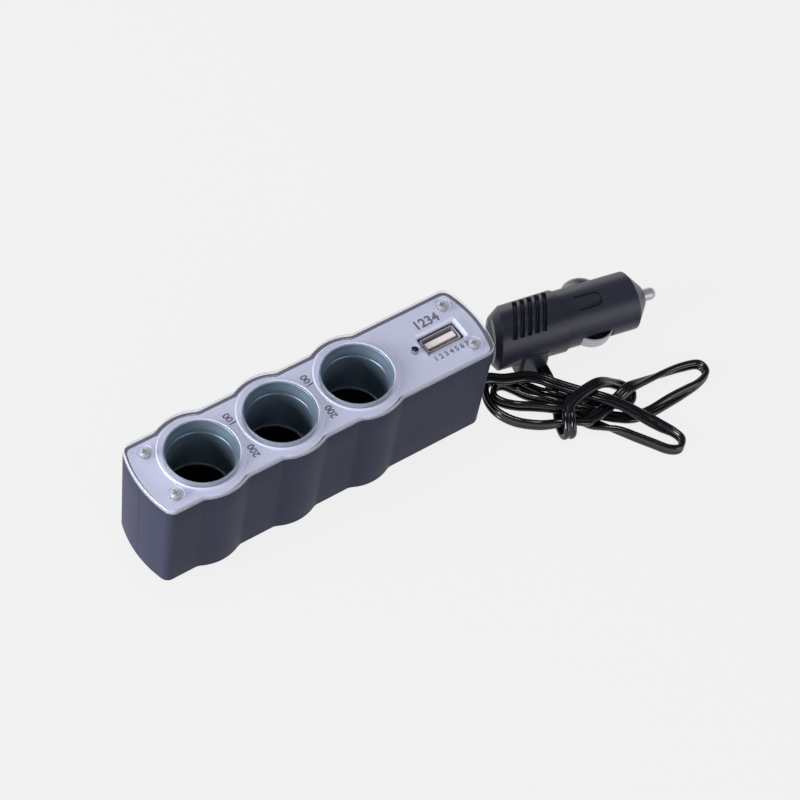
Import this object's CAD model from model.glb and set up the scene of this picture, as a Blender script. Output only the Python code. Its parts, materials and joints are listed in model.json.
"""Car power socket splitter: a long box with three sockets and a USB port, and a plug on a lead.

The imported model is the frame. Each operator below dresses one group of its pieces, and main() calls
them in order. Lengths are metres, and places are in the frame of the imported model.
"""

import json
import math

import bmesh
import bpy
import numpy as np
from mathutils import Matrix, Vector
from mathutils.geometry import tessellate_polygon


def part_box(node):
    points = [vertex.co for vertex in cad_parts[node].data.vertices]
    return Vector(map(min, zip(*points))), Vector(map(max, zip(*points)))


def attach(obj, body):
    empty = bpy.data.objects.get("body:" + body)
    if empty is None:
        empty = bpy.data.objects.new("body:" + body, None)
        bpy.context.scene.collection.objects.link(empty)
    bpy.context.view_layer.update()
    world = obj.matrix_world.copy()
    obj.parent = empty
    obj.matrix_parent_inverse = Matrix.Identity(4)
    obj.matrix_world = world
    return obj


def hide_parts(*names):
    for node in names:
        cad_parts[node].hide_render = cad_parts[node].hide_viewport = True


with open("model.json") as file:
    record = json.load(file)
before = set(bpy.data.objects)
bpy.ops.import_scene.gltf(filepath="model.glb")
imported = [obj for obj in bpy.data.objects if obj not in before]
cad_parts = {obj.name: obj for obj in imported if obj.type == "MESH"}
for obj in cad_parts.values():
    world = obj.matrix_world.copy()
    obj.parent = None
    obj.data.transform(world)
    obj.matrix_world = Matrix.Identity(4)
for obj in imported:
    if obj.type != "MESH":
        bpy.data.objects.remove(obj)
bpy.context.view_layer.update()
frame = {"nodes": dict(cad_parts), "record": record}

bl_info = {
    "name": "Socket splitter",
    "version": (1, 0, 0),
    "blender": (4, 5, 0),
    "location": "3D View > Sidebar > Splitter",
    "description": "Dresses a three-socket splitter for a car with its finishes and its lead",
    "category": "Object",
}

MM = 0.001

# The photograph's camera: where it stands, how it is turned, and its focal length in pixels of 800
VIEW_TARGET = (0.04425, 0.00684, 0.0)
VIEW_AZIMUTH = -43.462
VIEW_ELEVATION = 53.677
VIEW_ROLL = -10.455
VIEW_DISTANCE = 0.94048
VIEW_FOCAL_PX = 2786.29
VIEW_WIDTH_PX = 800
SENSOR_WIDTH_MM = 36.0

# The route of the flat lead, in millimetres: along, across, up, and how far its wide side leans
# out of the level, in degrees. A fifth number is the wide side's bearing where the lead folds over.
LEAD_ROUTE = [
    (67.5, -4, 8, 0), (71.8, -5, 7.3, 0), (76, -7.4, 6.6, 0), (80, -9, 6.4, 0), (84, -10.6, 6.4, 0),
    (87.5, -13.5, 6.2, 0), (90, -17, 6.2, 0),
    (93, -21, 6.2, 0), (96.5, -25.5, 6.4, 0), (99.8, -29.8, 6.8, 0), (103, -34, 6.8, 0),
    (106.5, -39, 6, 0),
    (110, -44, 4.2, 20), (113.4, -49, 2.8, 60), (115.8, -53, 2.3, 90), (116.2, -56.8, 2.3, 90),
    (113.2, -59.2, 2.3, 90), (109.8, -57.4, 2.3, 90),
    (106.8, -53, 2.3, 90), (103.5, -48, 2.3, 90), (100.2, -43, 2.3, 80), (97, -38.8, 1.8, 40),
    (94, -34.8, 1.2, 0), (91, -31.2, 2.1, 35),
    (87.3, -27.8, 5, 90), (83.5, -24.2, 5, 90), (80, -20.4, 3.6, 90), (76, -16.6, 2.3, 90),
    (72.5, -13, 2.3, 90), (71.4, -9.6, 2.3, 90), (73.8, -6.8, 2.3, 90),
    (77, -7.4, 2.3, 90), (79.2, -10.6, 2.3, 90), (81, -14.6, 2.8, 90), (83.2, -18.6, 4.2, 90),
    (85.6, -22, 5, 90), (88.3, -25.4, 5, 90), (92.3, -27.7, 3.2, 80),
    (96.2, -30.9, 1.6, 20), (99.6, -34, 1.2, 0), (103.2, -37.2, 1.2, 0), (108, -40.2, 1.2, 0),
    (115, -41.4, 1.2, 0), (122.5, -41.2, 1.4, 20), (129.5, -41.2, 1.9, 60), (136, -41, 2.3, 90),
    (141, -39, 2.3, 90), (141, -34.8, 2.3, 90),
    (135, -32.6, 2.3, 90), (127.5, -31.4, 2.3, 70), (120, -31.2, 3.4, 40), (113.5, -31.6, 5.3, 10),
    (110.5, -32, 5.3, 0), (107, -32.6, 4.3, 0), (103, -33.4, 3.9, 0),
    (99, -34.2, 4, 0), (95, -34.8, 4.3, 0), (91, -35.2, 4.9, 20), (87.2, -33.6, 5.1, 60),
    (83, -31.2, 4.8, 80), (77.5, -27.2, 2.8, 90),
    (71.5, -21.5, 2.3, 90), (68.5, -15, 2.3, 90), (69, -8.6, 2.3, 90), (72.5, -4.2, 2.3, 90),
    (77.6, -4.4, 2.3, 90), (81.8, -8.4, 2.3, 90), (84, -12.6, 2.4, 90),
    (85.6, -17, 3.8, 90), (87.8, -20.6, 5, 90), (90.8, -23.7, 4.5, 90), (95.2, -26, 2.5, 80),
    (100.1, -28, 1.5, 25), (104.4, -30.4, 1.2, 0),
    (107.8, -33.6, 1.2, 0), (111.4, -33.8, 1.2, 0), (113.6, -31.4, 1.3, 0), (112.4, -28.6, 2.2, 0),
    (109, -27.4, 4.6, 0), (105.4, -27, 7.6, 0),
    (101.5, -26.8, 9.5, 0), (96.5, -27, 9.6, 0), (91.5, -27.6, 9.3, 0), (87.6, -29.2, 9.2, 0),
    (85.4, -31.8, 9.2, 0), (84, -34.8, 7.9, 0, 150),
    (83.2, -36.6, 5.1, 0, 155), (83.2, -35.4, 2.2, 0, 158), (84.2, -32.2, 1.2, 0, 160),
    (85.6, -28.7, 1.2, 0), (88, -24.5, 1.2, 0), (89.8, -20, 1.2, 0), (91.4, -16, 1.5, 0),
    (92.3, -12.2, 2.2, 0), (93.2, -7.8, 2.2, 0),
]
# The length of the lead along its route, from the housing to the plug
# Rows of its mesh for each point of the route, and how far the lowest of them stay above the floor
LEAD_STEPS = 6
LEAD_CLEARANCE = 0.03 * MM
# How far round each strand is drawn, both ways from its outer side, and in how many points
STRAND_ARC = 148
STRAND_POINTS = 13
LEAD_NODES = ("cord_lead", "cord_hank", "cord_tail")

# The housing's outline: half its width between the bulges, its corners' radius, its ends' swell
HOUSING_SIDE = 14.75 * MM
HOUSING_CORNER = 3.6 * MM
HOUSING_BOW = 2.8 * MM
# The thickness of the housing's wall above the top deck, and below it
RIM_WIDTH = 1.2 * MM
HOUSING_WALL = 2 * MM
# The seam down its left end: place across, half its width, and how far along it reaches
SEAM_PLACE = -0.5 * MM
SEAM_HALF = 0.18 * MM
SEAM_REACH = 6 * MM

# Places and sizes of the cover's cuts, which the solids share
COVER_THICKNESS = 1.8 * MM
COLLAR_RADII = (12.15 * MM, 14.25 * MM)
WELL_RADII = (2.65 * MM, 1.35 * MM)
WELL_DEPTH = 0.8 * MM
SCREW_PLACES = [(x * 57.2 * MM, y * 9 * MM) for x in (-1, 1) for y in (-1, 1)]
LAMP_RADIUS = 1.25 * MM
WINDOW_SIZE = (14.8 * MM, 7.4 * MM)
WINDOW_BEVEL = (0.8 * MM, 0.9 * MM)
WINDOW_CORNER = 0.3 * MM
# The gap under the drawn cover, which keeps its underside clear of the face plate's surface
COVER_LIFT = 0.05 * MM
# The steel ring in a socket's mouth: outer and inner radius, the tube's radius, its rolled edge,
# its gap over the tube, and its drop under the top of the collars
MOUTH_RADII = (11.88 * MM, 11.62 * MM)
TUBE_RADIUS = 10.8 * MM
MOUTH_ROLL = 0.2 * MM
MOUTH_GAP = 0.05 * MM
MOUTH_DROP = 0.45 * MM
# The indicator's lens: its gap over the lamp and inside the hole, its dome, and its drop
LENS_GAPS = (0.03 * MM, 0.05 * MM)
LENS_DOME = 0.5 * MM
LENS_DROP = 0.75 * MM
# Points round a socket, a screw and the indicator
SOCKET_POINTS = 128
SCREW_POINTS = 48
LAMP_POINTS = 40

# The plain numbers on the face plate: digits, middle along and across, height, and turn in degrees
NUMBERS = (
    ("100", -26.9 * MM, 7 * MM, 2.4 * MM, 96),
    ("200", -26.9 * MM, -6.9 * MM, 2.4 * MM, 88),
    ("100", 2.6 * MM, 7 * MM, 2.4 * MM, 96),
    ("200", 2.6 * MM, -6.9 * MM, 2.4 * MM, 88),
    ("1234", 49.6 * MM, 7.1 * MM, 3.5 * MM, 0),
    ("1 2 3 4 5 6 7", 50 * MM, -7 * MM, 1.9 * MM, 0),
)
# The font's size for digits of height 1, how much bolder they are, and the ink's thickness and rise
FONT_SHARE = 1.4
FONT_BOLDNESS = 0.03
INK_THICKNESS = 0.01 * MM
INK_RISE = 0.02 * MM

# The barrel of the plug, from the grip to the nose, and half the width of the seam between them
BARREL_LENGTH = 27.5 * MM
BARREL_RADIUS = 10.3 * MM
PLUG_SEAM_HALF = 0.14 * MM
# How deep under the barrel's surface, and how far before its end, the shade of its grooves begins
GROOVE_DEPTH = 0.25 * MM
GROOVE_END = 0.3 * MM
# Faces that turn by less than the first, in degrees, are one face; edges that turn by more than
# the second are rounded. Points nearer to each other than the distance are one point.
FLAT_ANGLE = 0.4
EDGE_ANGLE = 32
MERGE_DISTANCE = 1e-6

# The lamps: name, place, width and watts. All face one place near the middle of the housing.
LAMPS = (
    ("key", (-1.1, 0.15, 0.32), 0.7, 24.0),
    ("back", (0.0, 0.2, 1.1), 0.35, 2.6),
    ("front", (0.3, -1.0, 0.5), 0.8, 3.4),
    ("far", (0.5, 1.1, 0.15), 0.8, 2.0),
)
LAMP_AIM = (0.03, 0.0, 0.02)
# The even light from all round, and the share of the backdrop's own colour that is left overhead
AMBIENT = 0.36
CEILING_SHARE = 0.12
# The heights of a ray, from 0 level to 1 upright, between which the backdrop turns into the ceiling
CEILING_RISE = (0.05, 0.6)
# The floor's radius, its drop under the housing, and its own glow's share in what is seen of it
FLOOR_RADIUS = 3.0
FLOOR_DROP = 0.2 * MM
FLOOR_GLOW = 0.95


def middle(node):
    """The middle of a CAD node's box."""
    low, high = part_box(node)
    return (low + high) / 2


def linear(red, green, blue):
    """A screen colour of 0 to 255 a channel as the light it stands for, by the screen's curve."""
    shares = [c / 255 for c in (red, green, blue)]
    return tuple(s / 12.92 if s <= 0.04045 else ((s + 0.055) / 1.055) ** 2.4 for s in shares)


def length_field(name, description, size):
    """A length that the panel shows."""
    return bpy.props.FloatProperty(name=name, description=description, default=size, unit="LENGTH")


def colour_field(name, description, *screen):
    """A colour that the panel shows, given as a screen colour."""
    return bpy.props.FloatVectorProperty(
        name=name, description=description, subtype="COLOR", size=3, default=linear(*screen))


class SplitterSizes(bpy.types.PropertyGroup):
    """Lengths that the photograph shows and the solids leave plain."""

    draft: length_field("Draft", "How far the housing's walls draw in at the floor", 0.7 * MM)
    notch_blend: length_field("Notch blend", "How softly bulges run into the side walls", 0.5 * MM)
    foot_round: length_field("Foot round", "Radius of the housing's bottom edge", 0.9 * MM)
    rim_round: length_field("Rim round", "Radius of the housing's top edge", 0.3 * MM)
    plug_round: length_field("Plug round", "Radius of the edges of the moulded plug", 0.12 * MM)
    relief_round: length_field("Relief round", "Radius of the strain relief's edges", 0.35 * MM)
    cover_round: length_field("Cover round", "Radius of the clear cover's outer edge", 0.85 * MM)
    collar_round: length_field("Collar round", "Radius of the edges of the collars", 0.5 * MM)
    lead_width: length_field("Lead width", "Width of the flat twin lead", 4.4 * MM)
    lead_thickness: length_field("Lead thickness", "Thickness of the flat twin lead", 2.2 * MM)


class SplitterColours(bpy.types.PropertyGroup):
    """Colours of the surfaces that show."""

    housing: colour_field("Housing", "Moulded housing", 43, 46, 65)
    plate: colour_field("Face plate", "Brushed plate under the cover", 207, 210, 236)
    cover: colour_field("Cover", "Clear cover", 226, 229, 246)
    plug: colour_field("Plug", "Moulded plug", 39, 41, 55)
    lead: colour_field("Lead", "Sheath of the lead", 7, 7, 16)
    steel: colour_field("Steel", "Plated steel of the sockets", 130, 150, 170)
    backdrop: colour_field("Backdrop", "Floor and backdrop", 241, 241, 241)


def sizes():
    """The scene's sizes."""
    return bpy.context.scene.splitter_sizes


def colours():
    """The scene's colours."""
    return bpy.context.scene.splitter_colours


class Value:
    """A number socket that can be written into sums: each sum on values adds its Math node."""

    def __init__(self, nodes, socket):
        self.nodes, self.socket = nodes, socket

    def _maths(self, operation, first, second=None):
        sockets = {i: x for i, x in enumerate((first, second)) if x is not None}
        return self.nodes.value("Math", {"operation": operation}, sockets)

    def __add__(self, other):
        return self._maths("ADD", self, other)

    __radd__ = __add__

    def __sub__(self, other):
        return self._maths("SUBTRACT", self, other)

    def __rsub__(self, other):
        return self._maths("SUBTRACT", other, self)

    def __mul__(self, other):
        return self._maths("MULTIPLY", self, other)

    __rmul__ = __mul__

    def __abs__(self):
        return self._maths("ABSOLUTE", self)

    def __lt__(self, other):
        return self._maths("LESS_THAN", self, other)

    def __gt__(self, other):
        return self._maths("GREATER_THAN", self, other)

    def sine(self):
        """The sine of the value, in radians."""
        return self._maths("SINE", self)

    def ramp(self, low, high):
        """0 up to low, 1 from high on, and smooth between them."""
        return self.nodes.value(
            "MapRange", {"interpolation_type": "SMOOTHSTEP"},
            {"Value": self, "From Min": low, "From Max": high})


class Nodes:
    """The nodes of a material or a world."""

    def __init__(self, tree):
        self.tree = tree

    def node(self, kind, settings=None, sockets=None):
        """Adds a node of a type, sets its settings, and then its sockets to values or links."""
        made = self.tree.nodes.new("ShaderNode" + kind)
        for key, setting in (settings or {}).items():
            setattr(made, key, setting)
        for key, given in (sockets or {}).items():
            self.join(made.inputs[key], given)
        return made

    def join(self, socket, given):
        """Sets a socket to a number or a colour, or links the socket of a value to it."""
        given = given.socket if isinstance(given, Value) else given
        if isinstance(given, bpy.types.NodeSocket):
            self.tree.links.new(given, socket)
        elif socket.type == "RGBA" and len(given) == 3:
            socket.default_value = (*given, 1)
        else:
            socket.default_value = given

    def value(self, kind, settings=None, sockets=None, out=0):
        """A node of a type, as the value of one of its outputs."""
        return Value(self, self.node(kind, settings, sockets).outputs[out])

    def vectors(self, operation, *given, out="Vector"):
        """A sum of vectors, as a vector or as a number."""
        return self.value("VectorMath", {"operation": operation}, dict(enumerate(given)), out)

    def split(self, vector):
        """A vector's three numbers."""
        made = self.node("SeparateXYZ", {}, {0: vector})
        return [Value(self, made.outputs[i]) for i in range(3)]

    def mix(self, share, first, second):
        """Two colours mixed by a share."""
        return self.node("Mix", {"data_type": "RGBA"}, {0: share, 6: first, 7: second}).outputs[2]

    def seen(self):
        """1 for a ray from the camera, a mirror or a clear piece, else 0."""
        path = self.node("LightPath")
        rays = [Value(self, path.outputs[f"Is {kind} Ray"])
                for kind in ("Camera", "Glossy", "Transmission")]
        return (rays[0] + rays[1] + rays[2]) > 0.5


SOCKET_NAMES = {
    "ior": "IOR", "specular": "Specular IOR Level",
    "metallic": "Metallic", "roughness": "Roughness",
}


class Paint(Nodes):
    """One material and the nodes in it."""

    def __init__(self, name, colour, **constants):
        self.material = bpy.data.materials.new(name)
        self.material.use_nodes = True
        super().__init__(self.material.node_tree)
        self.shader = self.tree.nodes["Principled BSDF"]
        self.material.diffuse_color = (*colour[:3], 1)
        for key, number in constants.items():
            self.set(SOCKET_NAMES[key], number)

    def set(self, key, given):
        """Sets one socket of the material's shader."""
        self.join(self.shader.inputs[key], given)

    def place(self, stretch=None):
        """The surface's own place in metres, stretched where a stretch is given."""
        place = self.node("TexCoord").outputs["Object"]
        if stretch is None:
            return place
        return self.node("Mapping", {"vector_type": "POINT"}, {
            "Vector": place, "Scale": stretch}).outputs[0]

    def noise(self, per_metre, place=None, detail=3.0, roughness=0.5):
        """Smooth noise of so many lumps a metre, from 0 to 1."""
        return self.value("TexNoise", {}, {
            "Vector": place or self.place(), "Scale": per_metre, "Detail": detail,
            "Roughness": roughness})

    def finished(self, colour, roughness, height=None, depth=0.0):
        """The material, with its colour, its roughness, and a relief of height times depth."""
        self.set("Base Color", colour)
        self.set("Roughness", roughness)
        if height is not None:
            bump = self.node("Bump", {}, {"Height": height, "Distance": depth})
            self.set("Normal", bump.outputs[0])
        return self.material


def scaled(colour, share):
    """A colour made lighter or darker by a share."""
    return tuple(c * share for c in colour[:3])


def moulded(name, colour, roughness=0.5, seam=None, specular=0.12, grooves=None):
    """Moulded plastic: a fine sparkling grain, faint flow marks, and a shine that varies with them.

    A seam is a dark sunk line where a way's product with the place has a value: (way, value, half
    width, far end along the housing). Grooves are darker than what they are cut in, as dust and
    shade gather there. They lie nearer to a line than a radius, over a length of it: (start, way,
    radius, length).
    """
    paint = Paint(name, colour, ior=1.49, specular=specular)
    place = paint.place()
    fine = paint.noise(2600, detail=2)
    flow = paint.noise(70, paint.place((1, 1, 0.35)), detail=4)
    shade = paint.mix(flow, scaled(colour, 0.9), scaled(colour, 1.1))
    height = fine
    if seam is not None:
        way, at, half_width, end = seam
        along = paint.vectors("DOT_PRODUCT", place, way, out="Value")
        line = (abs(along - at) < half_width) * (paint.split(place)[0] < end)
        shade = paint.mix(line * 0.6, shade, scaled(colour, 0.3))
        height = fine * (1 - line) - line * 4
    if grooves is not None:
        start, way, radius, length = grooves
        arm = paint.vectors("SUBTRACT", place, start)
        along = paint.vectors("DOT_PRODUCT", arm, way, out="Value")
        away = paint.vectors("LENGTH", paint.vectors("CROSS_PRODUCT", arm, way), out="Value")
        deep = (away < radius) * (along > 0) * (along < length)
        shade = paint.mix(deep * 0.7, shade, scaled(colour, 0.15))
    return paint.finished(shade, roughness - 0.06 + 0.12 * flow, height, 0.018 * MM)


def brushed(name, colour):
    """Brushed plate: long fine scratches along the housing, with broad soft bands of light."""
    paint = Paint(name, colour, ior=1.5, metallic=0.35)
    scratches = paint.noise(4200, paint.place((0.012, 1, 1)), detail=4, roughness=0.65)
    bands = paint.noise(38, paint.place((0.25, 1, 1)), detail=2)
    shade = paint.mix(scratches, scaled(colour, 0.9), scaled(colour, 1.06))
    shade = paint.mix(bands * 0.5, shade, scaled(colour, 0.94))
    return paint.finished(shade, 0.3 + 0.2 * scratches, scratches, 0.006 * MM)


def plated(name, colour, roughness, turned=True, metallic=1.0):
    """Plated metal: faintly cloudy, with fine marks, which run round the upright where turned."""
    paint = Paint(name, colour, metallic=metallic)
    cloud = paint.noise(160, detail=4)
    marks = paint.noise(3400, paint.place((0.1, 0.1, 1) if turned else None), detail=2)
    shade = paint.mix(cloud, scaled(colour, 0.86), scaled(colour, 1.06))
    return paint.finished(shade, roughness - 0.05 + 0.1 * cloud + 0.05 * marks, marks, 0.003 * MM)


def clear(name, colour):
    """Clear moulded plastic: see-through where it is level, milky where it leans, grey upright."""
    paint = Paint(name, colour, ior=1.49, specular=0.5)
    upright = 1 - abs(paint.split(paint.node("NewGeometry").outputs["Normal"])[2])
    haze = paint.noise(90, detail=3)
    leaning = upright.ramp(0.02, 0.3)
    wall = upright.ramp(0.55, 0.98)
    paint.set("Alpha", 0.06 + 0.4 * leaning - 0.08 * wall + 0.03 * haze)
    shade = paint.mix(wall, colour[:3], scaled(colour, 0.7))
    return paint.finished(shade, 0.06 + 0.04 * haze, haze, 0.01 * MM)


def sheath(name, colour):
    """Soft glossy sheath of a lead: a skin that ripples faintly, with dust in places."""
    paint = Paint(name, colour, ior=1.52, specular=0.6)
    ripple = paint.noise(420, detail=2)
    dust = paint.noise(900, detail=5).ramp(0.62, 0.82)
    shade = paint.mix(dust * 0.25, colour[:3], scaled(colour, 2.2))
    return paint.finished(shade, 0.12 + 0.06 * ripple + 0.12 * dust, ripple, 0.02 * MM)


def rubber(name, colour):
    """Matt soft rubber with a fine powdery grain."""
    paint = Paint(name, colour, ior=1.5)
    grain = paint.noise(1800, detail=4)
    shade = paint.mix(grain, scaled(colour, 0.85), scaled(colour, 1.3))
    return paint.finished(shade, 0.55 + 0.15 * grain, grain, 0.02 * MM)


def masked_board(name, colour):
    """Circuit board: solder mask over copper tracks, which show as a lighter raised grid."""
    paint = Paint(name, colour, ior=1.5)
    x, y, _ = paint.split(paint.place())
    weave = paint.noise(1500, detail=2)
    tracks = (((x * 2100).sine() > 0.93) + ((y * 2600).sine() > 0.95)).ramp(0.1, 0.9)
    shade = paint.mix(tracks, scaled(colour, 0.8), scaled(colour, 1.8))
    shade = paint.mix(weave * 0.2, shade, scaled(colour, 1.3))
    return paint.finished(shade, 0.35 + 0.1 * weave, tracks, 0.03 * MM)


def tinted(name, colour, alpha):
    """Tinted or clear moulded glass, with faint swirls."""
    paint = Paint(name, colour, ior=1.5)
    swirl = paint.noise(500, detail=3)
    paint.set("Alpha", alpha - 0.05 + 0.1 * swirl)
    shade = paint.mix(swirl, scaled(colour, 0.85), scaled(colour, 1.15))
    return paint.finished(shade, 0.08 + 0.06 * swirl)


def ink(name, colour):
    """Printed ink: thin, and a little uneven where the screen left it lighter."""
    paint = Paint(name, colour)
    spots = paint.noise(2400, detail=3).ramp(0.55, 0.8)
    shade = paint.mix(spots * 0.4, colour[:3], scaled(colour, 2.5))
    return paint.finished(shade, 0.5 + 0.2 * spots)


def paints():
    """The material of each slot of the record, made once."""
    made = bpy.data.materials
    tones = colours()
    way, start = plug_axis()
    end_seam = ((0, 1, 0), SEAM_PLACE, SEAM_HALF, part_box("housing")[0].x + SEAM_REACH)
    plug_seam = (tuple(way), start.dot(way), PLUG_SEAM_HALF, 1)
    grooves = (
        tuple(start), tuple(way), BARREL_RADIUS - GROOVE_DEPTH, BARREL_LENGTH - GROOVE_END)
    recipes = {
        "housing": lambda n: moulded(n, tones.housing, seam=end_seam),
        "black_plastic": lambda n: moulded(n, linear(14, 15, 22), roughness=0.35),
        "face_plate": lambda n: brushed(n, tones.plate),
        "clear_cover": lambda n: clear(n, tones.cover),
        "steel": lambda n: plated(n, tones.steel, 0.36, metallic=0.6),
        "zinc": lambda n: plated(n, linear(190, 191, 198), 0.38, turned=False, metallic=0.6),
        "brass": lambda n: plated(n, linear(214, 178, 104), 0.3, turned=False),
        "board": lambda n: masked_board(n, linear(24, 84, 50)),
        "chip": lambda n: moulded(n, linear(32, 32, 35), roughness=0.55),
        "tongue": lambda n: moulded(n, linear(226, 216, 222), roughness=0.35),
        "coil": lambda n: rubber(n, linear(70, 70, 74)),
        "sleeve": lambda n: sheath(n, linear(34, 40, 92)),
        "lamp": lambda n: tinted(n, linear(10, 10, 38), 0.95),
        "red_wire": lambda n: sheath(n, linear(168, 24, 24)),
        "black_wire": lambda n: sheath(n, linear(24, 24, 28)),
        "rubber": lambda n: rubber(n, linear(26, 26, 31)),
        "cord": lambda n: sheath(n, tones.lead),
        "plug": lambda n: moulded(n, tones.plug, 0.36, plug_seam, 0.35, grooves),
        "fuse_glass": lambda n: tinted(n, linear(225, 235, 240), 0.35),
        "ink": lambda n: ink(n, linear(38, 36, 66)),
    }
    return {
        slot: made.get(slot + "_finish") or recipe(slot + "_finish")
        for slot, recipe in recipes.items()}


def plug_axis():
    """The plug's direction, from its grip to its tip, and the place where its barrel starts."""
    for joint in frame["record"]["behaviour"]["joints"]:
        if joint["name"] == "nose_unscrew":
            way = Vector(joint["axis"])
            return way, Vector(joint["pos_m"]) - way * BARREL_LENGTH
    raise KeyError("nose_unscrew")


def slot_of(node):
    """The record's material slot of a CAD node."""
    for part in frame["record"]["subparts"]:
        if part["node"] == node:
            return part["material_slot"]
    raise KeyError(node)


def dress(piece, slot, body):
    """Gives a finished piece its finish and its body."""
    piece.data.materials.clear()
    piece.data.materials.append(paints()[slot])
    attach(piece, body)


def dress_node(*nodes):
    """Gives carried-over CAD nodes the finish of their slot."""
    for node in nodes:
        mesh = frame["nodes"][node].data
        mesh.materials.clear()
        mesh.materials.append(paints()[slot_of(node)])


def placed(name, data):
    """A new object in the scene, made of a mesh, a text, a lamp or a camera."""
    made = bpy.data.objects.new(name, data)
    bpy.context.scene.collection.objects.link(made)
    return made


def mesh_piece(name, points, faces, smooth_angle=40):
    """A new piece from points and faces, smooth apart from edges sharper than an angle."""
    mesh = bpy.data.meshes.new(name)
    mesh.from_pydata(np.asarray(points).tolist(), [], faces)
    mesh.validate()
    mesh.shade_smooth()
    mesh.set_sharp_from_angle(angle=math.radians(smooth_angle))
    return placed(name, mesh)


def grid_faces(rows, sides):
    """Faces between rows of points that close round into loops, each between two rows."""
    row, side = np.meshgrid(np.arange(rows - 1), np.arange(sides), indexing="ij")
    after = (side + 1) % sides
    corners = [
        row * sides + side, row * sides + after,
        (row + 1) * sides + after, (row + 1) * sides + side]
    return np.stack(corners, -1).reshape(-1, 4).tolist()


def faced_outwards(piece, merge=False):
    """Turns a piece's faces outwards, after merging the points that lie together if asked to."""
    shape = bmesh.new()
    shape.from_mesh(piece.data)
    if merge:
        bmesh.ops.remove_doubles(shape, verts=shape.verts, dist=MERGE_DISTANCE)
    bmesh.ops.recalc_face_normals(shape, faces=shape.faces)
    shape.to_mesh(piece.data)
    shape.free()


def softened(node, body, radius, segments=3):
    """A CAD node's own solid with its outer edges rounded.

    The solid's triangles are merged into whole faces, and each outward edge that turns by more than
    a set angle gets a round of the radius. Inner corners stay as they are: pockets keep their room.
    """
    shape = bmesh.new()
    shape.from_mesh(frame["nodes"][node].data)
    bmesh.ops.remove_doubles(shape, verts=shape.verts, dist=MERGE_DISTANCE)
    bmesh.ops.dissolve_limit(
        shape, angle_limit=math.radians(FLAT_ANGLE), verts=shape.verts, edges=shape.edges)
    weight = shape.edges.layers.float.new("bevel_weight_edge")
    least = math.radians(EDGE_ANGLE)
    for edge in shape.edges:
        edge[weight] = float(edge.is_manifold and edge.calc_face_angle_signed() > least)
    mesh = bpy.data.meshes.new(node + "_round")
    shape.to_mesh(mesh)
    shape.free()
    mesh.shade_smooth()
    piece = placed(mesh.name, mesh)
    round_off = piece.modifiers.new("round", "BEVEL")
    round_off.width, round_off.segments = radius, segments
    round_off.limit_method = "WEIGHT"
    round_off.miter_outer = "MITER_ARC"
    round_off.use_clamp_overlap = False
    settle(piece)
    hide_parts(node)
    dress(piece, slot_of(node), body)


def settle(piece):
    """Fixes what a piece's modifiers make, and shades each point by its largest faces."""
    shading = piece.modifiers.new("shading", "WEIGHTED_NORMAL")
    shading.mode, shading.weight, shading.keep_sharp = "FACE_AREA", 100, True
    depsgraph = bpy.context.evaluated_depsgraph_get()
    fixed = bpy.data.meshes.new_from_object(piece.evaluated_get(depsgraph))
    piece.modifiers.clear()
    piece.data = fixed


def carried(points, out, profile):
    """An outline carried through a profile of (inset, level).

    It makes one row of points for each place in the profile: the outline, drawn in by the inset
    and set at the level.
    """
    profile = np.array(profile)
    plan = points[None] - profile[:, 0][:, None, None] * out[None]
    level = np.broadcast_to(profile[:, 1][:, None, None], (*plan.shape[:2], 1))
    return np.concatenate([plan, level], -1)


def ring_outline(place, count):
    """A point as an outline that circles grow from: its profile's insets are minus the radii."""
    turn = np.arange(count) * (2 * math.pi / count)
    out = np.stack([np.cos(turn), np.sin(turn)], -1)
    return np.broadcast_to(np.array(place)[:2], out.shape), out


def rectangle_outline(place, size, corner, steps=6):
    """A rectangle with round corners, as points and outward directions."""
    turn = np.radians(np.linspace(0, 90, steps))
    turns = (turn[None] + np.radians([0, 90, 180, 270])[:, None]).ravel()
    out = np.stack([np.cos(turns), np.sin(turns)], -1)
    side = np.array([[1, 1], [-1, 1], [-1, -1], [1, -1]]).repeat(steps, 0)
    return np.array(place)[:2] + side * (np.array(size) / 2 - corner) + corner * out, out


def cap_faces(loops, starts):
    """Triangles that fill the first loop of points and leave the others open, as point numbers."""
    numbers = np.concatenate([np.arange(len(loop)) + start for loop, start in zip(loops, starts)])
    fill = tessellate_polygon([loop.tolist() for loop in loops])
    return [[int(numbers[i]) for i in face] for face in fill]


def cut_plate(rims):
    """The points and faces of a plate with cuts.

    Each rim is rows of points that run round one of its edges, from its top to its bottom. The
    first one is the outer edge. The top and the bottom are filled between the rims.
    """
    counts = [rim.shape[0] * rim.shape[1] for rim in rims]
    starts = np.concatenate([[0], np.cumsum(counts)[:-1]])
    faces = []
    for rim, start in zip(rims, starts):
        faces += (np.array(grid_faces(*rim.shape[:2])) + start).tolist()
    faces += cap_faces([rim[0] for rim in rims], starts)
    faces += cap_faces([rim[-1] for rim in rims], [
        start + count - rim.shape[1] for rim, start, count in zip(rims, starts, counts)])
    return np.concatenate([rim.reshape(-1, 3) for rim in rims]), faces


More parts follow.
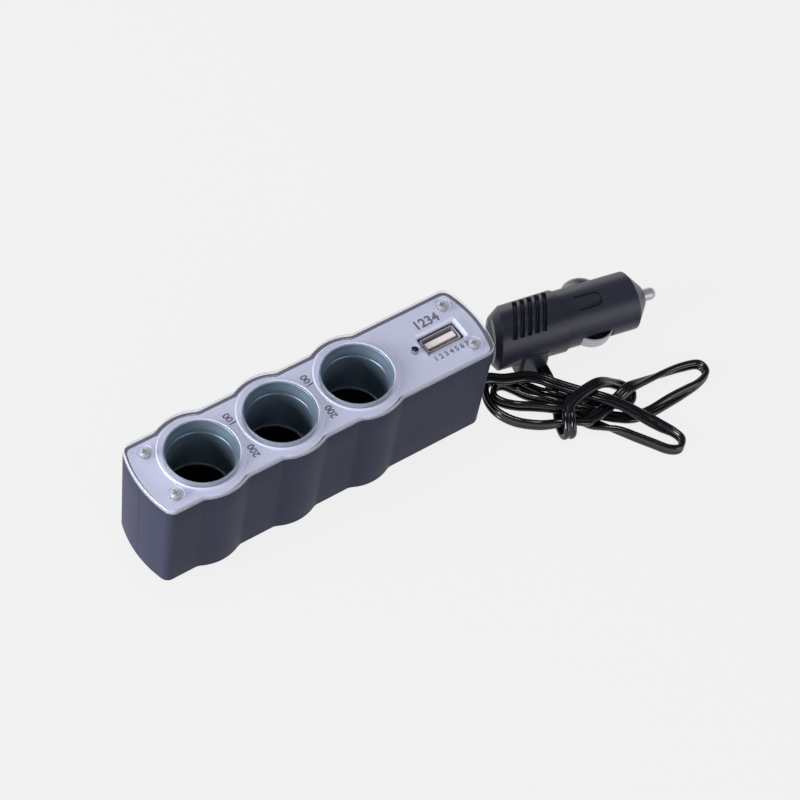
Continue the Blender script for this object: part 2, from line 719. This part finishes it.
def housing_outline():
    """The housing's outline from above, as points and outward directions.

    Each side is the higher of a straight line and three circles round the sockets, blended by a
    smooth maximum. Each end is a shallow arc that meets a small corner arc at each side.
    """
    half, bulge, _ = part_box("housing")[1]
    side, corner, bow = HOUSING_SIDE, HOUSING_CORNER, HOUSING_BOW
    bow_r = (side * side + bow * bow) / (2 * bow)
    bow_x, corner_y = half - bow_r, side - corner
    corner_x = bow_x + math.sqrt((bow_r - corner) ** 2 - corner_y ** 2)
    x = np.linspace(corner_x, -corner_x, 520)[1:-1]
    y = np.full_like(x, side)
    blend = sizes().notch_blend
    for i in (1, 2, 3):
        centre = middle(f"socket_shell_{i}").x
        circle = np.sqrt(np.clip(bulge ** 2 - (x - centre) ** 2, 0, None))
        share = np.clip(0.5 + 0.5 * (circle - y) / blend, 0, 1)
        y = circle * share + y * (1 - share) + blend * share * (1 - share)
    meet = math.atan2(corner_y, corner_x - bow_x)
    turn = np.linspace(meet, math.pi / 2, 14)
    corner_arc = np.stack([corner_x + corner * np.cos(turn), corner_y + corner * np.sin(turn)], -1)
    turn = np.linspace(-meet, meet, 60)[1:-1]
    end_arc = np.stack([bow_x + bow_r * np.cos(turn), bow_r * np.sin(turn)], -1)
    top = np.stack([x, y], -1)
    right = np.concatenate([corner_arc[::-1] * (1, -1), end_arc, corner_arc])
    points = np.concatenate([right, top, right * (-1, -1), top[::-1] * (1, -1)])
    way = np.roll(points, -1, 0) - np.roll(points, 1, 0)
    out = np.stack([way[:, 1], -way[:, 0]], -1)
    return points, out / np.linalg.norm(out, axis=1, keepdims=True)


def rounded_corner(inset, level, radius, start, end, steps=5):
    """Points of a round in a profile: its centre's (inset, level), its radius and its angles."""
    turn = np.radians(np.linspace(start, end, steps))
    return [(inset - radius * math.cos(t), level + radius * math.sin(t)) for t in turn]


class SPLITTER_OT_housing(bpy.types.Operator):
    """Make the housing with its draft, its blended notches and its rounded edges"""

    bl_idname = "splitter.make_housing"
    bl_label = "Housing"

    def execute(self, context):
        """Carries the wall's profile round the outline: up from the foot, and down inside."""
        size = sizes()
        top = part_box("housing")[1].z
        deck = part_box("top_deck")[0].z
        draft, foot, rim = size.draft, size.foot_round, size.rim_round
        profile = rounded_corner(draft + foot, foot, foot, -90, 0)
        for share in (0.25, 0.5, 0.75):
            profile.append((draft * (1 - share), foot + (top - rim - foot) * share))
        profile += rounded_corner(rim, top - rim, rim, 0, 90)
        profile += [
            (RIM_WIDTH, top), (RIM_WIDTH, deck),
            (HOUSING_WALL, deck), (HOUSING_WALL, HOUSING_WALL)]
        shape = carried(*housing_outline(), profile)
        rows, sides = shape.shape[:2]
        shape = shape.reshape(-1, 3)
        faces = grid_faces(rows, sides)
        faces.append(list(range(sides))[::-1])
        faces.append(list(range((rows - 1) * sides, rows * sides)))
        piece = mesh_piece("housing_shell", shape, faces, smooth_angle=50)
        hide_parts("housing")
        dress(piece, "housing", "splitter")
        return {"FINISHED"}


class SPLITTER_OT_stage(bpy.types.Operator):
    """Make the camera, the soft lights, the floor and the backdrop"""

    bl_idname = "splitter.make_stage"
    bl_label = "Stage"

    def execute(self, context):
        """Stands the camera back from its target along its bearing, then turns it by its roll."""
        bearing, rise, roll = map(math.radians, (VIEW_AZIMUTH, VIEW_ELEVATION, VIEW_ROLL))
        back = Vector((
            math.sin(bearing) * math.cos(rise),
            -math.cos(bearing) * math.cos(rise),
            math.sin(rise)))
        right = (-back).cross(Vector((0, 0, 1))).normalized()
        down = (-back).cross(right)
        across = right * math.cos(roll) + down * math.sin(roll)
        below = down * math.cos(roll) - right * math.sin(roll)
        lens = bpy.data.cameras.new("camera")
        lens.sensor_width = SENSOR_WIDTH_MM
        lens.lens = VIEW_FOCAL_PX / VIEW_WIDTH_PX * SENSOR_WIDTH_MM
        camera = placed("camera", lens)
        place = Vector(VIEW_TARGET) + back * VIEW_DISTANCE
        camera.matrix_world = Matrix((
            (across.x, -below.x, back.x, place.x),
            (across.y, -below.y, back.y, place.y),
            (across.z, -below.z, back.z, place.z),
            (0, 0, 0, 1)))
        lens.clip_start, lens.clip_end = 0.01, 20
        scene = context.scene
        scene.camera = camera
        scene.view_settings.view_transform = "Standard"
        self.lights()
        self.floor()
        self.backdrop(scene)
        return {"FINISHED"}

    def lights(self):
        """Large soft lamps: a strong low one on the left, weak ones overhead, before and behind."""
        for name, place, size, power in LAMPS:
            lamp = bpy.data.lights.new(name, "AREA")
            lamp.shape, lamp.size, lamp.energy = "DISK", size, power
            stand = placed(name, lamp)
            stand.location = place
            aim = Vector(LAMP_AIM) - Vector(place)
            stand.rotation_euler = aim.to_track_quat("-Z", "Y").to_euler()

    def floor(self):
        """A wide flat disc. Where it is seen it glows at its own colour, and shadows dim it."""
        turn = np.linspace(0, 2 * math.pi, 97)[:-1]
        points = np.stack([
            FLOOR_RADIUS * np.cos(turn), FLOOR_RADIUS * np.sin(turn),
            np.full_like(turn, -FLOOR_DROP)], -1)
        floor = mesh_piece("floor", points, [list(range(len(turn)))])
        tone = tuple(colours().backdrop)
        paint = Paint("floor", tone, roughness=0.9, specular=0.0)
        paint.set("Base Color", tone)
        glow = paint.node("Emission", {}, {"Color": tone, "Strength": 1.0})
        mixed = paint.node("MixShader", {}, {
            0: paint.seen() * FLOOR_GLOW, 1: paint.shader.outputs[0], 2: glow.outputs[0]})
        paint.join(paint.tree.nodes["Material Output"].inputs["Surface"], mixed.outputs[0])
        floor.data.materials.append(paint.material)

    def backdrop(self, scene):
        """A world of the floor's colour where it is seen, and a soft even light to all else.

        Overhead it falls off to grey, as the dark ceiling over a table does.
        """
        world = bpy.data.worlds.new("backdrop")
        scene.world = world
        world.use_nodes = True
        sky = Nodes(world.node_tree)
        sky.tree.nodes.clear()
        tone = tuple(colours().backdrop)
        even = sky.node("Background", {}, {"Color": (1, 1, 1), "Strength": AMBIENT})
        rise = sky.split(sky.node("TexCoord").outputs["Generated"])[2]
        shade = sky.mix(rise.ramp(*CEILING_RISE), tone, scaled(tone, CEILING_SHARE))
        pale = sky.node("Background", {}, {"Color": shade, "Strength": 1.0})
        mixed = sky.node("MixShader", {}, {0: sky.seen(), 1: even.outputs[0], 2: pale.outputs[0]})
        sky.join(sky.node("OutputWorld").inputs["Surface"], mixed.outputs[0])


def through(points, steps):
    """A smooth curve through points, in steps between each two of them.

    Each stretch is the cubic whose way at each point is half the step from the point before it to
    the point after it.
    """
    points = np.asarray(points, float)
    first, last = 2 * points[0] - points[1], 2 * points[-1] - points[-2]
    held = np.concatenate([[first], points, [last]])
    share = (np.arange(steps) / steps)[None, :, None]
    a, b, c, d = (held[i:len(held) - 3 + i, None] for i in range(4))
    curve = (2 * b + (c - a) * share + (2 * a - 5 * b + 4 * c - d) * share ** 2
             + (3 * b - a - 3 * c + d) * share ** 3) / 2
    return np.concatenate([curve.reshape(-1, points.shape[1]), points[-1:]])


def wide_sides():
    """The direction of the lead's wide side at each point of its route, with its sign carried on.

    It is the level direction across the way, leaned up out of the level by the point's angle.
    """
    places = np.array([p[:3] for p in LEAD_ROUTE], float)
    way = np.concatenate([places[1:], places[-1:]]) - np.concatenate([places[:1], places[:-1]])
    way = way[:, :2] / np.linalg.norm(way[:, :2], axis=1, keepdims=True)
    sides = []
    for point, (along_x, along_y) in zip(LEAD_ROUTE, way):
        lean = math.radians(point[3])
        level = (-along_y, along_x)
        if len(point) > 4:
            bearing = math.radians(point[4])
            level = (math.cos(bearing), math.sin(bearing))
        side = np.array([math.cos(lean) * level[0], math.cos(lean) * level[1], math.sin(lean)])
        if sides and side @ sides[-1] < 0:
            side = -side
        sides.append(side)
    return np.array(sides)


class SPLITTER_OT_lead(bpy.types.Operator):
    """Make the flat twin lead from the strain relief through its hank to the plug"""

    bl_idname = "splitter.make_lead"
    bl_label = "Lead"

    def execute(self, context):
        """Carries the outline of two strands side by side along the route.

        Each strand is a circle whose inner side is left open, so the two meet in a narrow web with
        a groove on each face. The wide side follows its own smooth curve, squared to the way.
        """
        size = sizes()
        centre = through([[c * MM for c in p[:3]] for p in LEAD_ROUTE], LEAD_STEPS)
        side = through(wide_sides(), LEAD_STEPS)
        way = np.gradient(centre, axis=0)
        way /= np.linalg.norm(way, axis=1, keepdims=True)
        side -= way * np.sum(side * way, axis=1, keepdims=True)
        side /= np.linalg.norm(side, axis=1, keepdims=True)
        thick = np.cross(way, side)
        radius, reach = size.lead_thickness / 2, (size.lead_width - size.lead_thickness) / 2
        turn = np.radians(np.linspace(-STRAND_ARC, STRAND_ARC, STRAND_POINTS))
        right = np.stack([reach + radius * np.cos(turn), radius * np.sin(turn)], -1)
        section = np.concatenate([right, -right])
        shape = (centre[:, None] + section[None, :, :1] * side[:, None]
                 + section[None, :, 1:] * thick[:, None])
        shape[..., 2] = np.maximum(shape[..., 2], LEAD_CLEARANCE)
        rows, sides = shape.shape[:2]
        faces = grid_faces(rows, sides)
        faces += [list(range(sides))[::-1], list(range((rows - 1) * sides, rows * sides))]
        piece = mesh_piece("lead", shape.reshape(-1, 3), faces, smooth_angle=70)
        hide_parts(*LEAD_NODES)
        dress(piece, "cord", "splitter")
        return {"FINISHED"}


class SPLITTER_OT_plug(bpy.types.Operator):
    """Dress the plug: grip, barrel, nose, tip, fuse and side contacts"""

    bl_idname = "splitter.make_plug"
    bl_label = "Plug"

    def execute(self, context):
        """Rounds the edges of the moulded pieces and gives the metal ones their plating."""
        bodies = {"plug_grip": "splitter", "plug_barrel": "splitter", "nose_cap": "nose"}
        for node, body in bodies.items():
            softened(node, body, sizes().plug_round, segments=2)
        dress_node("tip_pin", "fuse_tube", "fuse_caps", "fuse_spring", "plug_terminal",
                   "side_contact_left", "side_contact_right")
        return {"FINISHED"}


class SPLITTER_OT_cover(bpy.types.Operator):
    """Make the clear cover, the deck, the face plate, the screws and the strain relief"""

    bl_idname = "splitter.make_cover"
    bl_label = "Cover"

    def execute(self, context):
        """Makes the cover, dresses what shows through it, and prints plain numbers under it."""
        self.cover()
        softened("strain_relief", "splitter", sizes().relief_round)
        dress_node("top_deck", "face_plate", "cover_screws")
        for i, number in enumerate(NUMBERS, 1):
            self.number(f"number_{i}", *number)
        return {"FINISHED"}

    def cover(self):
        """Carries one profile round each edge of the cover, and fills what lies between them.

        The outer edge is a quarter round. Each collar rises from a small hollow round, over its
        flat top and down into its socket. Each screw has a round-lipped well, and the port has a
        bevelled window.
        """
        size = sizes()
        low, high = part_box("clear_cover")
        bottom, top, crown = low.z + COVER_LIFT, low.z + COVER_THICKNESS, high.z
        edge, turn, lip, flat = size.cover_round, size.collar_round, 0.25 * MM, 0.15 * MM
        inner, outer = COLLAR_RADII
        well, hole = WELL_RADII
        widen, deep = WINDOW_BEVEL
        collar = [(-outer - lip - flat, top)]
        collar += rounded_corner(-outer - lip, top + lip, lip, 270, 180)
        collar += rounded_corner(turn - outer, crown - turn, turn, 0, 90)
        collar += rounded_corner(-inner - turn, crown - turn, turn, 90, 180)
        collar += [(-inner, bottom), (-inner - flat, bottom)]
        sunk = [(-well - lip - flat, top)]
        sunk += rounded_corner(-well - lip, top - lip, lip, 90, 180)
        sunk += [(-well, top - WELL_DEPTH), (-hole, top - WELL_DEPTH)]
        sunk += [(-hole, bottom), (-hole - flat, bottom)]
        lamp = [(-LAMP_RADIUS - lip, top)]
        lamp += rounded_corner(-LAMP_RADIUS - lip / 2, top - lip / 2, lip / 2, 90, 180)
        lamp += [(-LAMP_RADIUS, bottom), (-LAMP_RADIUS - flat, bottom)]
        window = [(-widen - 2 * flat, top), (-widen - flat, top), (-widen, top - 0.05 * MM)]
        window += [(0, top - deep), (0, bottom), (-flat, bottom)]
        border = [(edge + flat, top)] + rounded_corner(edge, top - edge, edge, 90, 0, 7)
        border += [(0, bottom), (flat, bottom)]
        rims = [carried(*housing_outline(), border)]
        for i in (1, 2, 3):
            centre = middle(f"socket_shell_{i}")
            rims.append(carried(*ring_outline(centre, SOCKET_POINTS), collar))
        rims += [carried(*ring_outline(place, SCREW_POINTS), sunk) for place in SCREW_PLACES]
        rims.append(carried(*ring_outline(middle("indicator_led"), LAMP_POINTS), lamp))
        rims.append(carried(
            *rectangle_outline(middle("usb_shell"), WINDOW_SIZE, WINDOW_CORNER), window))
        piece = mesh_piece("clear_cover_round", *cut_plate(rims))
        faced_outwards(piece)
        settle(piece)
        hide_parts("clear_cover")
        dress(piece, "clear_cover", "splitter")

    def number(self, name, digits, x, y, height, turn):
        """Digits printed on the face plate: a flat text made a mesh, turned and set in place."""
        words = bpy.data.curves.new("number", "FONT")
        words.body, words.size = digits, height * FONT_SHARE
        words.align_x = words.align_y = "CENTER"
        words.extrude, words.offset = INK_THICKNESS, FONT_BOLDNESS * words.size
        drawn = placed("number", words)
        depsgraph = bpy.context.evaluated_depsgraph_get()
        mesh = bpy.data.meshes.new_from_object(drawn.evaluated_get(depsgraph))
        bpy.data.objects.remove(drawn)
        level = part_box("face_plate")[1].z + INK_RISE
        turned = Matrix.Rotation(math.radians(turn), 4, "Z")
        mesh.transform(Matrix.Translation((x, y, level)) @ turned)
        piece = placed(name, mesh)
        mesh.materials.clear()
        mesh.materials.append(paints()["ink"])
        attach(piece, "splitter")


class SPLITTER_OT_sockets(bpy.types.Operator):
    """Dress the steel sockets, their cups and their contacts"""

    bl_idname = "splitter.dress_sockets"
    bl_label = "Sockets"

    def execute(self, context):
        """Gives each piece of the sockets the finish of its slot, and each socket its mouth."""
        for i in (1, 2, 3):
            dress_node(f"socket_shell_{i}", f"socket_cup_{i}", f"centre_contact_{i}")
            self.mouth(i)
        dress_node("negative_bus", "positive_bus", "positive_lead", "negative_lead")
        return {"FINISHED"}

    def mouth(self, i):
        """Carries a ring's profile round the socket, between its shell and the cover's collar.

        It widens gently from the tube in half a cosine wave and ends in a rolled edge.
        """
        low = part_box(f"socket_shell_{i}")[1].z + MOUTH_GAP
        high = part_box("clear_cover")[1].z - MOUTH_DROP
        (outer, inner), roll = MOUTH_RADII, MOUTH_ROLL
        share = np.linspace(0, 1, 7)
        wide = TUBE_RADIUS + (inner - TUBE_RADIUS) * (1 - np.cos(math.pi * share)) / 2
        profile = [(-outer, low), (-outer, high - 2 * roll)]
        profile += rounded_corner(-outer, high - roll, roll, -60, 90)
        profile += rounded_corner(-inner - roll, high - roll, roll, 90, 180)
        rise = high - 2 * roll - low
        profile += [(-w, low + rise * along) for w, along in zip(wide[::-1], share[::-1])]
        rows = carried(*ring_outline(middle(f"socket_shell_{i}"), SOCKET_POINTS), profile)
        count, sides = rows.shape[:2]
        faces = (np.array(grid_faces(count + 1, sides)) % (count * sides)).tolist()
        piece = mesh_piece(f"socket_mouth_{i}", rows.reshape(-1, 3), faces)
        dress(piece, "steel", "splitter")


class SPLITTER_OT_port(bpy.types.Operator):
    """Dress the USB port, its circuit board and the indicator"""

    bl_idname = "splitter.dress_port"
    bl_label = "Port and board"

    def execute(self, context):
        """Gives the port and each piece on the board the finish of its slot."""
        dress_node("usb_shell", "usb_tongue", "usb_contacts", "usb_board", "board_screws",
                   "voltage_regulator", "inductor", "capacitors", "indicator_led")
        self.lens()
        return {"FINISHED"}

    def lens(self):
        """Turns half an ellipse on a short straight side: the lamp's domed tip in its hole."""
        over, inside = LENS_GAPS
        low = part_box("indicator_led")[1].z + over
        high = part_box("clear_cover")[1].z - LENS_DROP
        wide, dome = LAMP_RADIUS - inside, LENS_DOME
        turn = np.radians(np.linspace(0, 90, 8))
        profile = [(0, low), (-wide, low)]
        profile += [(-wide * math.cos(t), high - dome + dome * math.sin(t)) for t in turn]
        rows = carried(*ring_outline(middle("indicator_led"), LAMP_POINTS), profile)
        piece = mesh_piece("indicator_lens", rows.reshape(-1, 3), grid_faces(*rows.shape[:2]))
        faced_outwards(piece, merge=True)
        dress(piece, "lamp", "splitter")


class SPLITTER_PT_panel(bpy.types.Panel):
    """Lists the sizes, the colours and the pieces."""

    bl_label = "Socket splitter"
    bl_idname = "SPLITTER_PT_panel"
    bl_space_type = "VIEW_3D"
    bl_region_type = "UI"
    bl_category = "Splitter"

    def draw(self, context):
        """Draws one row for each size, each colour and each operator."""
        for group in (sizes(), colours()):
            box = self.layout.box()
            for key in type(group).__annotations__:
                box.prop(group, key)
        for operator in OPERATORS:
            self.layout.operator(operator.bl_idname)


OPERATORS = (
    SPLITTER_OT_stage,
    SPLITTER_OT_plug,
    SPLITTER_OT_lead,
    SPLITTER_OT_housing,
    SPLITTER_OT_cover,
    SPLITTER_OT_sockets,
    SPLITTER_OT_port,
)
CLASSES = (SplitterSizes, SplitterColours, *OPERATORS, SPLITTER_PT_panel)


def register():
    """Adds the classes, and the sizes and colours to the scene."""
    for made in CLASSES:
        bpy.utils.register_class(made)
    bpy.types.Scene.splitter_sizes = bpy.props.PointerProperty(type=SplitterSizes)
    bpy.types.Scene.splitter_colours = bpy.props.PointerProperty(type=SplitterColours)


def unregister():
    """Takes them off again."""
    del bpy.types.Scene.splitter_sizes
    del bpy.types.Scene.splitter_colours
    for made in reversed(CLASSES):
        bpy.utils.unregister_class(made)


def main():
    register()
    bpy.ops.splitter.make_stage()
    bpy.ops.splitter.make_plug()
    bpy.ops.splitter.make_lead()
    bpy.ops.splitter.make_housing()
    bpy.ops.splitter.make_cover()
    bpy.ops.splitter.dress_sockets()
    bpy.ops.splitter.dress_port()


if __name__ == "__main__":
    main()
